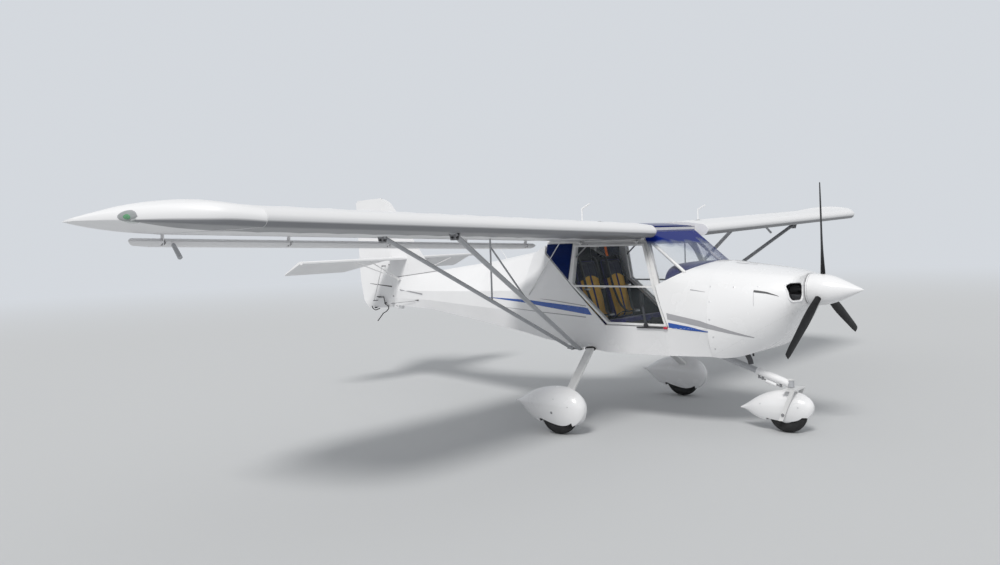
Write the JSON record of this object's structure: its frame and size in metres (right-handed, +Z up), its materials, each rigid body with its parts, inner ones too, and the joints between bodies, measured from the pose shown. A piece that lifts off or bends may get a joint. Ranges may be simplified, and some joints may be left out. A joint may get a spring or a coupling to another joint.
{
  "type": "ultralight aircraft",
  "caption": "High-wing strut-braced ultralight aircraft with a nose propeller, side-by-side cabin, top-hinged glazed doors, spatted tricycle gear and full-span flaperons.",
  "frame": {"origin": "on the ground under the middle of the whole aircraft's length and span", "axes": "+X ahead to the propeller, +Y to the left wing tip, +Z up"},
  "size_m": [5.655, 9.12, 2.072],
  "materials": {
    "white_covering": "satin",
    "white_moulding": "gloss",
    "engine_metal": "matte",
    "firewall_sheet": "satin",
    "clear_glazing": "gloss",
    "white_tube": "gloss",
    "panel_black": "matte",
    "bay_sheet": "matte",
    "seat_cloth": "matte",
    "blade_black": "satin",
    "tyre_black": "matte",
    "rim_metal": "satin",
    "lamp_red": "gloss",
    "lamp_green": "gloss"
  },
  "bodies": {
    "airframe": {"baggage_bay": "bay_sheet", "boot_cowl": "white_moulding", "engine": "engine_metal", "fin": "white_covering", "firewall": "firewall_sheet", "front_strut_left": "white_tube", "front_strut_right": "white_tube", "gear_leg_left": "white_tube", "gear_leg_right": "white_tube", "instrument_panel": "panel_black", "lower_body": "white_moulding", "lower_cowling": "white_moulding", "main_pant_left": "white_moulding", "main_pant_right": "white_moulding", "nose_leg": "white_tube", "quarter_window_left": "clear_glazing", "quarter_window_right": "clear_glazing", "rear_fuselage": "white_covering", "rear_strut_left": "white_tube", "rear_strut_right": "white_tube", "roof_fairing": "white_covering", "roof_frame": "white_tube", "seat_left": "seat_cloth", "seat_right": "seat_cloth", "side_frame_left": "white_tube", "side_frame_right": "white_tube", "skylight": "clear_glazing", "stabiliser_left": "white_covering", "stabiliser_right": "white_covering", "tail_brace_left": "white_tube", "tail_brace_right": "white_tube", "tip_lens_left": "lamp_red", "tip_lens_right": "lamp_green", "upper_cowling": "white_moulding", "windscreen": "clear_glazing", "wing_left": "white_covering", "wing_right": "white_covering", "wing_tip_left": "white_covering", "wing_tip_right": "white_covering"},
    "propeller": {"spinner": "white_moulding", "propeller_blades": "blade_black"},
    "nose_steering": {"nose_fork": "white_tube", "nose_pant": "white_moulding"},
    "nose_wheel": {"nose_tyre": "tyre_black", "nose_rim": "rim_metal"},
    "main_wheel_left": {"main_tyre_left": "tyre_black", "main_rim_left": "rim_metal"},
    "main_wheel_right": {"main_tyre_right": "tyre_black", "main_rim_right": "rim_metal"},
    "left_door": {"door_frame_left": "white_tube", "door_glazing_left": "clear_glazing"},
    "right_door": {"door_frame_right": "white_tube", "door_glazing_right": "clear_glazing"},
    "left_flaperon": {"flaperon_left": "white_covering"},
    "right_flaperon": {"flaperon_right": "white_covering"},
    "pitch_surface": {"elevator": "white_covering"},
    "yaw_surface": {"rudder": "white_covering"}
  },
  "joints": [
    {"name": "propeller_spin", "type": "hinge", "parent": "airframe", "child": "propeller", "pos_m": [2.5275, 0, 1.118], "axis": [1, 0, 0], "continuous": true},
    {"name": "nose_steer", "type": "hinge", "parent": "airframe", "child": "nose_steering", "pos_m": [2.2695, 0, 0.38], "axis": [0, 0, 1], "range_deg": [-20, 20]},
    {"name": "nose_wheel_spin", "type": "hinge", "parent": "nose_steering", "child": "nose_wheel", "pos_m": [2.2435, 0, 0.152], "axis": [0, 1, 0], "continuous": true},
    {"name": "main_wheel_spin_left", "type": "hinge", "parent": "airframe", "child": "main_wheel_left", "pos_m": [0.7695, 0.99, 0.17], "axis": [0, 1, 0], "continuous": true},
    {"name": "main_wheel_spin_right", "type": "hinge", "parent": "airframe", "child": "main_wheel_right", "pos_m": [0.7695, -0.99, 0.17], "axis": [0, 1, 0], "continuous": true},
    {"name": "door_swing_left", "type": "hinge", "parent": "airframe", "child": "left_door", "pos_m": [0.8795, 0.405, 1.516], "axis": [1, 0, 0], "range_deg": [0, 80]},
    {"name": "door_swing_right", "type": "hinge", "parent": "airframe", "child": "right_door", "pos_m": [0.8795, -0.405, 1.516], "axis": [-1, 0, 0], "range_deg": [0, 80]},
    {"name": "flaperon_turn_left", "type": "hinge", "parent": "airframe", "child": "left_flaperon", "pos_m": [0.2655, 2.3, 1.56165], "axis": [0, 0.9994, 0.0355], "range_deg": [-20, 15]},
    {"name": "flaperon_turn_right", "type": "hinge", "parent": "airframe", "child": "right_flaperon", "pos_m": [0.2655, -2.3, 1.56165], "axis": [0, 0.9994, -0.0355], "range_deg": [-20, 15]},
    {"name": "elevator_turn", "type": "hinge", "parent": "airframe", "child": "pitch_surface", "pos_m": [-2.2505, 0, 1.4], "axis": [0, 1, 0], "range_deg": [0, 50]},
    {"name": "rudder_turn", "type": "hinge", "parent": "airframe", "child": "yaw_surface", "pos_m": [-2.2155, 0, 0.87], "axis": [-0.1562, 0, 0.9877], "range_deg": [-25, 25]}
  ]
}
